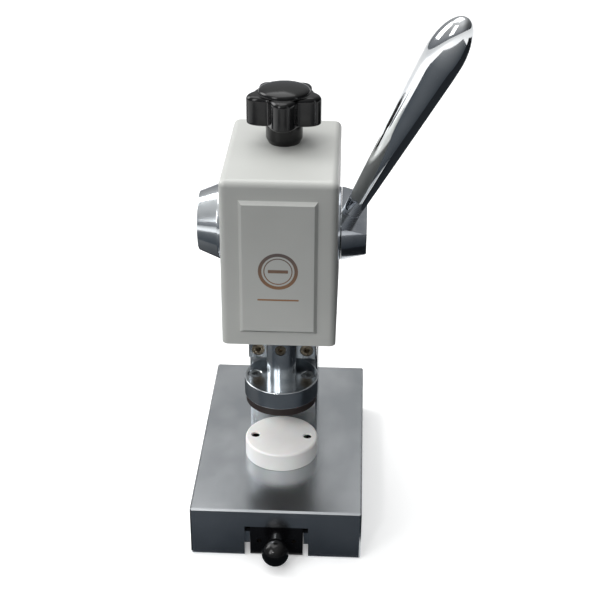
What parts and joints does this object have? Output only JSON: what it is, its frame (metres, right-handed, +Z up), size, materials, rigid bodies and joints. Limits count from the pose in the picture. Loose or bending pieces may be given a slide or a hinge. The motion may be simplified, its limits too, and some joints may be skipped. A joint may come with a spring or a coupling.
{
  "type": "bench tablet press",
  "caption": "Hand-lever bench press with a toothed ram over a round die pad, a star-knob depth stop and a small drawer in the base.",
  "frame": {"origin": "centre of the base's rectangular footprint, on its underside", "axes": "+Z up the column, -Y towards the user and the drawer, +X to the user's right, the lever's side"},
  "size_m": [0.1662, 0.206, 0.3614],
  "materials": {
    "ground_steel": "ground and polished",
    "bright_steel": "turned and polished",
    "black_steel": "black oxide",
    "spring_steel": "blued spring steel",
    "cast_iron": "machined casting",
    "bronze": "turned bronze",
    "grey_paint": "satin light grey",
    "black_paint": "gloss black",
    "chrome": "polished",
    "white_acetal": "satin",
    "dark_phenolic": "satin dark brown",
    "black_phenolic": "gloss black"
  },
  "bodies": {
    "frame": {"base_block": "ground_steel", "column": "ground_steel", "column_bolts": "black_steel", "column_dowels": "bright_steel", "guide_plate": "bright_steel", "guide_plate_screws": "black_steel", "head_casting": "cast_iron", "head_bolts": "black_steel", "lower_ram_bush": "bronze", "upper_ram_bush": "bronze", "left_shaft_bush": "bronze", "right_shaft_bush": "bronze", "top_bridge": "ground_steel", "bridge_screws": "black_steel", "stop_screw_bush": "bronze", "head_cover": "grey_paint", "rear_cover": "grey_paint", "rear_cover_screws": "black_steel", "spring_cup": "chrome", "spring_cup_screws": "black_steel", "spring_cup_cap": "chrome", "return_spring": "spring_steel", "hub_collar": "chrome", "hub_collar_screws": "black_steel", "die_pad": "white_acetal", "die_screws": "black_steel", "drawer_rails": "bright_steel", "rail_screws": "black_steel", "drawer_stop_pin": "bright_steel"},
    "ram_unit": {"ram": "bright_steel", "ram_key": "bright_steel", "ram_key_screws": "black_steel", "ram_flange": "bright_steel", "flange_screws": "bright_steel", "flange_set_screw": "black_steel", "press_pad": "dark_phenolic"},
    "lever_unit": {"pinion_shaft": "bright_steel", "sector_pinion": "bright_steel", "pinion_key": "bright_steel", "lever_hub": "chrome", "hub_key": "bright_steel", "hub_washer": "bright_steel", "hub_screw": "black_steel", "lever_handle": "chrome"},
    "stop_slide": {"stop_pad": "bronze"},
    "stop_knob": {"stop_screw": "bright_steel", "knob_insert": "bronze", "star_knob": "black_phenolic"},
    "drawer": {"drawer_tray": "black_paint", "drawer_front": "black_paint", "drawer_front_screws": "black_steel", "knob_stud": "bright_steel", "ball_knob": "black_phenolic"}
  },
  "joints": [
    {"name": "lever_turn", "type": "hinge", "parent": "frame", "child": "lever_unit", "pos_m": [0, -0.0015, 0.203], "axis": [1, 0, 0], "range_deg": [0, 112.7], "stiffness_Nm_per_rad": 0.3, "springref_deg": -85.94, "deforming": ["return_spring"]},
    {"name": "ram_slide", "type": "slide", "parent": "frame", "child": "ram_unit", "axis": [0, 0, -1], "range_m": [0, 0.02956]},
    {"name": "stop_lift", "type": "slide", "parent": "frame", "child": "stop_slide", "axis": [0, 0, 1], "range_m": [0, 0.00501]},
    {"name": "stop_turn", "type": "hinge", "parent": "stop_slide", "child": "stop_knob", "pos_m": [0, 0.0145, 0.2], "axis": [0, 0, 1], "range_deg": [0, 1440]},
    {"name": "drawer_slide", "type": "slide", "parent": "frame", "child": "drawer", "axis": [0, -1, 0], "range_m": [0, 0.055]}
  ],
  "couplings": [
    {"joint": "ram_slide", "follows": "lever_turn", "m_per_rad": 0.015},
    {"joint": "stop_lift", "follows": "stop_turn", "m_per_rad": 0.00019894}
  ]
}
